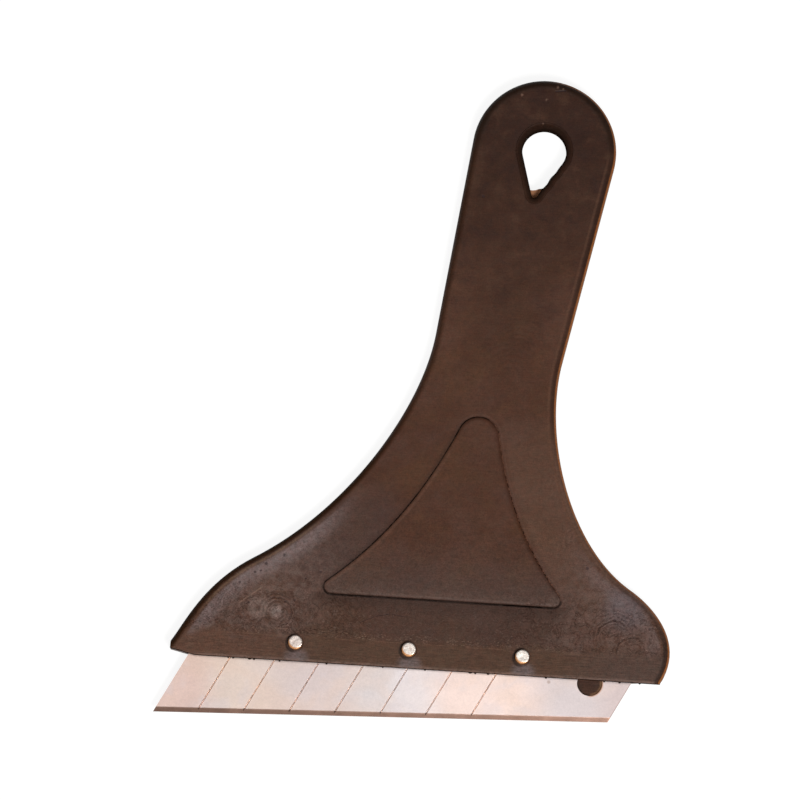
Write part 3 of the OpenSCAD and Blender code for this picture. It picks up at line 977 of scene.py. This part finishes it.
def pin_material():
    material, tree, shader = new_material("pin_steel")
    s = Paint(coordinates(tree))
    where = s.where
    worn = grain(where, 1.6, 4.0, 0.6)
    along = ramp(s.x, pin_place(-1)[0], pin_place(1)[0], kind="LINEAR")
    s.colour = mixed(along, linear(*LEFT_PIN_TONE), linear(*RIGHT_PIN_TONE))
    s.coat("worn_head", ramp(worn, 0.45, 0.7))
    # Painted reflections: sides, and a crescent at the lower right of each head, that mirror the
    # golden plastic
    head = handle_t + pin_stand
    side = ramp(s.z, head - 0.12, head - 0.35)
    for i in PINS:
        px, py = pin_place(i)
        crescent = times(ramp(distance(where, px + 0.22, py + 0.4), pin_r - 0.12, pin_r + 0.12),
                         ramp(distance(where, px, py), pin_r + 1, pin_r + 0.5))
        side = highest(side, crescent)
    s.coat("gold_side_reflection", side)
    scratched = grain(stretched(where, 1.0, 4.0, 1), 2.2, 3.0, 0.7, 0.6)
    s.coat("head_scratch", thin_line(scratched, 0.5, 0.02))
    feed(shader, {"Base Color": s.colour, "Metallic": ramp(side, 0, 1, 1.0, 0.45),
                  "Roughness": ramp(worn, 0.3, 0.7, 0.26, 0.4)})
    bumped(shader, ((grain(where, 2.5, 3.0), 0.04), (scratched, 0.01)))
    return material


# The handle's moulding

PINS = (-1, 0, 1)
# Width of the pad's soft rounding, and steps in it
PAD_ROUND = 0.9
PAD_STEPS = 9
# Section of the groove round the pad: how far in from the pad's outline, and height over the face
MOAT = ((-0.42, 0.1), (0.04, -0.1), (0.32, 0.1))
# Radii of the front edges of the leaf and of the pins' bores
LEAF_RIM_R = 0.15
BORE_RIM_R = 0.18
# Flash in the narrow end of the hang hole, and its thickness
WEB = ((72.2, 106.0), (75.4, 106.0), (76.2, 109.35), (75.3, 109.0), (74.7, 108.9), (74.0, 108.6),
       (73.3, 108.5), (72.6, 108.55), (71.9, 108.6))
WEB_T = 0.18
# Burrs that hang from the leaf's lower edge: place and width
BURRS = ((12.9, 0.5), (14.0, 0.4), (17.6, 0.9), (18.6, 0.6), (24.2, 0.5), (34.6, 0.5), (47.0, 0.4),
         (56.3, 0.5), (66.3, 0.9), (67.4, 0.5), (70.2, 0.6), (83.0, 0.5), (95.8, 0.5), (99.2, 0.6),
         (103.6, 0.5))
BURR_SEED = 7
# How deep the front face waves, how long the waves are, and the height from which they fade in
WAVE_DEPTH = 0.08
WAVE_SIZE = 14
WAVE_FROM = 3.3
WAVE_FADE = 1.5
# How far the cutting solids reach past the handle's sides, and triangles' size on the flat faces
MARGIN = 5
FACE_STEP = 1.2
# Angles in degrees above which an edge stays sharp
HANDLE_SHARP = 32
PIN_SHARP = 40


def coordinates_of(mesh):
    places = np.zeros(len(mesh.vertices) * 3)
    mesh.vertices.foreach_get("co", places)
    return places.reshape(-1, 3)


def wave_face(thing):
    """Lowers the points of the front face a little here and there, as a moulded face waves."""
    mesh = thing.data
    places = coordinates_of(mesh)
    for i, p in enumerate(places):
        lift = min(noise.noise(Vector((p[0], p[1], 0)) / (WAVE_SIZE * MM)), 0)
        places[i, 2] += WAVE_DEPTH * MM * lift * min(max((p[2] / MM - WAVE_FROM) / WAVE_FADE, 0), 1)
    mesh.vertices.foreach_set("co", places.ravel())
    mesh.update()


def ring_groove(name, line, section):
    """A closed tube of the given section along an outline, to be cut out of the front face."""
    n, m = len(line), len(section)
    points = [np.column_stack([drawn_in(line, s), np.full(n, handle_t + z)]) for s, z in section]
    faces = []
    for k in range(m):
        after = (k + 1) % m
        for i in range(n):
            j = (i + 1) % n
            faces.append([k * n + i, k * n + j, after * n + j, after * n + i])
    return new_object(name, np.concatenate(points), faces)


def burr(x, width, dice):
    """A small uneven lump on the lower edge of the front leaf."""
    columns, rows = 10, 6
    points, faces = [(x, 0.02, slot_top + 0.12)], []
    for j in range(1, rows):
        tilt = pi * j / rows
        for i in range(columns):
            turn = 2 * pi * i / columns
            swell = 1 + dice.uniform(-0.15, 0.15)
            points.append((x + swell * width / 2 * cos(turn) * sin(tilt),
                           0.02 - swell * 0.3 * sin(turn) * sin(tilt),
                           slot_top + 0.45 - swell * 0.33 * cos(tilt)))
    points.append((x, 0.02, slot_top + 0.78))
    last = len(points) - 1
    for i in range(columns):
        k = (i + 1) % columns
        faces.append([0, 1 + i, 1 + k])
        for j in range(rows - 2):
            a, b = 1 + j * columns, 1 + (j + 1) * columns
            faces.append([a + i, b + i, b + k, a + k])
        base = 1 + (rows - 2) * columns
        faces.append([base + i, last, base + k])
    return new_object("burr", np.array(points), faces)


def note_distances(thing, line, pad, hole):
    """Keeps each point's distance from three outlines, in mm; inside the pad it is minus."""
    flat = coordinates_of(thing.data)[:, :2] / MM - (jaw_x, jaw_y)
    for name, ring in (("edge_mm", line), ("pad_mm", pad), ("hole_mm", hole)):
        is_in, gap = inside(flat, ring)
        if name == "pad_mm":
            gap = np.where(is_in, -gap, gap)
        noted = thing.data.attributes.new(name, "FLOAT", "POINT")
        noted.data.foreach_set("value", gap.astype(np.float32))


def pin_place(i):
    return (jaw_w / 2 + pin_shift + i * pin_pitch, pin_up)


def build_pin(name, i):
    """A pin with a rounded, slightly battered head."""
    bottom = slot_bottom + blade_play + blade_t + pin_gap
    top = handle_t + pin_stand
    edge = 0.3
    profile = [(0.0, bottom), (pin_r - 0.1, bottom), (pin_r, bottom + 0.1), (pin_r, handle_t),
               (pin_r, top - edge)]
    profile += [(pin_r - edge + edge * cos(a), top - edge + edge * sin(a)) for a in quarter(6)[1:]]
    profile += [(pin_r * share, top) for share in (0.68, 0.52, 0.36, 0.2)] + [(0.0, top)]
    columns = 72
    px, py = pin_place(i)
    points, faces, rows = [], [], []
    for r, z in profile:
        row = []
        for k in range(columns if r else 1):
            turn = 2 * pi * k / columns
            q = Vector((r * cos(turn), r * sin(turn), 0))
            dent = 0
            if z > top - edge:
                dent = min(noise.noise(q * 0.9 + Vector((5.3 * i, 1.7, 0))), 0) * 0.06
            row.append(len(points))
            points.append((px + q.x, py + q.y, z + dent))
        rows.append(row)
    for low, high in zip(rows, rows[1:]):
        for k in range(columns):
            j = (k + 1) % columns
            face = [low[k % len(low)], low[j % len(low)], high[j % len(high)], high[k % len(high)]]
            faces.append(list(dict.fromkeys(face)))
    pin = new_object(name, np.array(points), faces)
    smooth(pin, PIN_SHARP)
    return pin


def moulding_blank(line, pad):
    """The whole outline at full thickness, with the pad and the groove round it."""
    # The side wall's parting line, and a faint crease inside the rounded edge of the front face
    side = [(parting_z - 0.1, 0), (parting_z - 0.03, 0.06), (parting_z + 0.03, 0.06),
            (parting_z + 0.1, 0)]
    crease = [(handle_t - 0.01, edge_r + 0.02), (handle_t - 0.04, edge_r + 0.25),
              (handle_t, edge_r + 0.6)]
    levels = round_down(0, edge_r) + side + round_up(handle_t, edge_r)[:-1] + crease
    body = lofted("handle_moulding", line, levels, FACE_STEP)
    combine(body, ring_groove("groove", pad, MOAT))
    root_z = handle_t + pad_t - pad_edge_r
    top = [(root_z + pad_edge_r * sin(a), PAD_ROUND * (1 - cos(a))) for a in quarter(PAD_STEPS)]
    combine(body, lofted("pad", pad, [(handle_t - 0.5, 0.0)] + top, FACE_STEP), "UNION")
    return body


def cutter_levels(bottom, rim_r):
    """Levels of a cutter through the front face, which rounds the face's edge over."""
    return [(bottom, 0)] + rim(round_up(handle_t, rim_r)) + [(handle_t + cut, -rim_r)]


def cut_jaw(body):
    """Leaves the thin front leaf, the back jaw with its slanted, bevelled lip, and the slot."""
    bottom = -lip_len - edge_r - 2 * cut
    left, right = -MARGIN, jaw_w + MARGIN
    below = [(left, tip_rise), (left, bottom), (right, bottom)]
    leaf = below + [(right, 0), (tip_run, 0), (0, tip_rise)]
    levels = cutter_levels(slot_top - blade_play, LEAF_RIM_R)
    combine(body, lofted("below_leaf", leaf, levels))

    lip_left = blade_mid[0] - blade_l / 2 - seat_depth / tan(radians(score_angle)) + lip_inset
    lip_right = lip_left + blade_l - 2 * lip_inset
    slant = lip_len / tan(radians(score_angle))
    jaw = below + [(right, corner_rise), (jaw_w, corner_rise), (lip_right, 0),
                   (lip_right - slant, -lip_len), (lip_left - slant, -lip_len), (lip_left, 0),
                   (tip_run, 0), (0, tip_rise)]
    combine(body, lofted("below_jaw", jaw, [(-cut, 0), (slot_bottom + blade_play, 0)]))

    slope = lip_bevel_t / lip_bevel_len
    top_y, low_y = -lip_len + lip_bevel_len + cut, -lip_len - cut
    bevel = [(top_y, -cut * slope), (low_y, lip_bevel_t + cut * slope), (low_y, -cut), (top_y, -cut)]
    points = [(x, y, z) for x in (-cut, jaw_w + cut) for y, z in bevel]
    faces = [[0, 1, 2, 3], [7, 6, 5, 4], [0, 4, 5, 1], [1, 5, 6, 2], [2, 6, 7, 3], [3, 7, 4, 0]]
    combine(body, new_object("bevel", points, faces))

    low = -blade_w - lip_len - cut
    slot = [seated(x, y) for x, y in ((-jaw_w, low), (jaw_w, low), (jaw_w, blade_play),
                                      (-jaw_w, blade_play))]
    combine(body, lofted("slot", slot, [(slot_bottom, 0), (slot_top, 0)]))
    tip = [(left - cut, bottom), (0, bottom), (0, flare_h), (left - cut, flare_h)]
    combine(body, lofted("tip_end", tip, [(-cut, 0), (handle_t + cut, 0)]))


def cut_hang_hole(body):
    """The drop with a soft bead round its front rim, and a thin web in its narrow end."""
    bead_out = hang_rim_r + 0.62
    back = [(-cut, -hang_rim_r)] + rim(round_down(0, hang_rim_r))
    bead = [(handle_t - 0.02, 0.18 - bead_out), (handle_t - 0.1, 0.1 - bead_out),
            (handle_t, -bead_out), (handle_t + cut, -bead_out)]
    levels = back + rim(round_up(handle_t - 0.12, hang_rim_r)) + bead
    combine(body, lofted("hang", hang_outline(), levels))
    levels = [(parting_z - WEB_T / 2, 0), (parting_z + WEB_T / 2, 0)]
    combine(body, lofted("web", WEB, levels), "UNION")


def cut_bores(body):
    for i in PINS:
        bore = arc(pin_place(i), pin_r + pin_fit, 0, 360, 64)[:-1]
        combine(body, lofted("bore", bore, cutter_levels(slot_bottom + blade_play, BORE_RIM_R)))


def build_handle():
    line, pad = handle_outline(), pad_outline()
    body = moulding_blank(line, pad)
    cut_jaw(body)
    cut_hang_hole(body)
    cut_bores(body)
    dice = Random(BURR_SEED)
    for x, width in BURRS:
        combine(body, burr(x, width, dice), "UNION")
    wave_face(body)
    note_distances(body, line, pad, hang_outline())
    smooth(body, HANDLE_SHARP)
    return body


moulding = build_handle()
moulding.data.materials.clear()
moulding.data.materials.append(plastic_material())
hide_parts("handle")
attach(moulding, "handle")

pin_steel = pin_material()
for node, i in zip(("lock_pin_left", "lock_pin_middle", "lock_pin_right"), PINS):
    pin = build_pin(node + "_turned", i)
    pin.data.materials.append(pin_steel)
    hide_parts(node)
    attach(pin, "handle")

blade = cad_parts["blade"]
blade.data.materials.clear()
blade.data.materials.append(blade_material())


# Stage

FLOOR_SIDE = 1.2
FLOOR_DROP = 0.0002
FLOOR_TONE = 0.18
# How white the camera, reflections and glass see the floor
FLOOR_GLOW = 0.88
KEY_PLACE = (0.28, -0.44, 0.85)
KEY_SIZE = 0.3
KEY_POWER = 6.8
KEY_TONE = (1, 0.97, 0.94)
SKY_TONE = (1, 0.985, 0.97, 1)
# The world's soft box over the object: direction, and degrees to its full part and to its rim
BOX_WAY = (-0.01, 0.09, 0.996)
BOX_FULL, BOX_RIM = 9, 15
# The camera: its aim in jaw-frame mm, its distance and its picture's width in metres, its turns
AIM = (46.92, 59.61, 2.5)
CAMERA_OFF = 1.5
PICTURE_W = 0.1772
SENSOR_W = 36
AZIMUTH, ELEVATION, ROLL = 5.11, 81.93, -1.403


def build_floor():
    mesh = bpy.data.meshes.new("floor")
    corners = [(x * FLOOR_SIDE, y * FLOOR_SIDE, 0) for x, y in ((-1, -1), (1, -1), (1, 1), (-1, 1))]
    mesh.from_pydata(corners, [], [(0, 1, 2, 3)])
    floor = placed("floor", mesh)
    floor.location.z = -FLOOR_DROP
    material, tree, shader = new_material("white_floor")
    ray = add(tree, "LightPath").outputs
    shown = highest(ray["Is Camera Ray"], ray["Is Glossy Ray"], ray["Is Transmission Ray"])
    feed(shader, {"Base Color": (FLOOR_TONE, FLOOR_TONE, FLOOR_TONE, 1), "Roughness": 0.9,
                  "Emission Color": (1, 1, 1, 1), "Emission Strength": times(shown, FLOOR_GLOW)})
    mesh.materials.append(material)


def build_key_light():
    data = bpy.data.lights.new("key", "AREA")
    data.shape = "DISK"
    data.size = KEY_SIZE
    data.energy = KEY_POWER
    data.color = KEY_TONE
    light = placed("key", data)
    light.location = KEY_PLACE
    light.rotation_mode = "QUATERNION"
    light.rotation_quaternion = (-Vector(KEY_PLACE)).to_track_quat("-Z", "Y")


def build_world():
    """A ring of soft light, brightest behind the key light's side, and a soft box overhead."""
    world = bpy.data.worlds.new("studio")
    bpy.context.scene.world = world
    world.use_nodes = True
    background = world.node_tree.nodes["Background"]
    direction = add(world.node_tree, "TexCoord").outputs["Generated"]
    up = split(direction)[2]
    side = vector("DOT_PRODUCT", direction, (-0.3, -0.95, 0))
    ring = times(ramp(up, 0.4, 0.6), ramp(up, 0.95, 0.85), ramp(side, -0.3, 0.5, 0.1, 1.0))
    box = vector("DOT_PRODUCT", direction, Vector(BOX_WAY).normalized())
    box = ramp(box, cos(radians(BOX_RIM)), cos(radians(BOX_FULL)))
    glow = plus(times(ring, 0.7), times(box, 1.15), ramp(up, -0.1, 0.5, 0.05, 0.12))
    feed(background, {"Color": SKY_TONE, "Strength": glow})


def build_camera():
    azimuth, elevation, roll = radians(AZIMUTH), radians(ELEVATION), radians(ROLL)
    data = bpy.data.cameras.new("camera")
    data.sensor_width = SENSOR_W
    data.lens = data.sensor_width * CAMERA_OFF / PICTURE_W
    data.clip_start, data.clip_end = 0.1, 10
    camera = placed("camera", data)
    back = Vector((sin(azimuth) * cos(elevation), -cos(azimuth) * cos(elevation), sin(elevation)))
    camera.location = Vector(in_part(AIM)) + back * CAMERA_OFF
    camera.rotation_mode = "QUATERNION"
    camera.rotation_quaternion = (-back).to_track_quat("-Z", "Y") @ Quaternion((0, 0, 1), roll)
    bpy.context.scene.camera = camera


build_floor()
build_world()
build_key_light()
build_camera()
bpy.context.scene.view_settings.view_transform = "Standard"
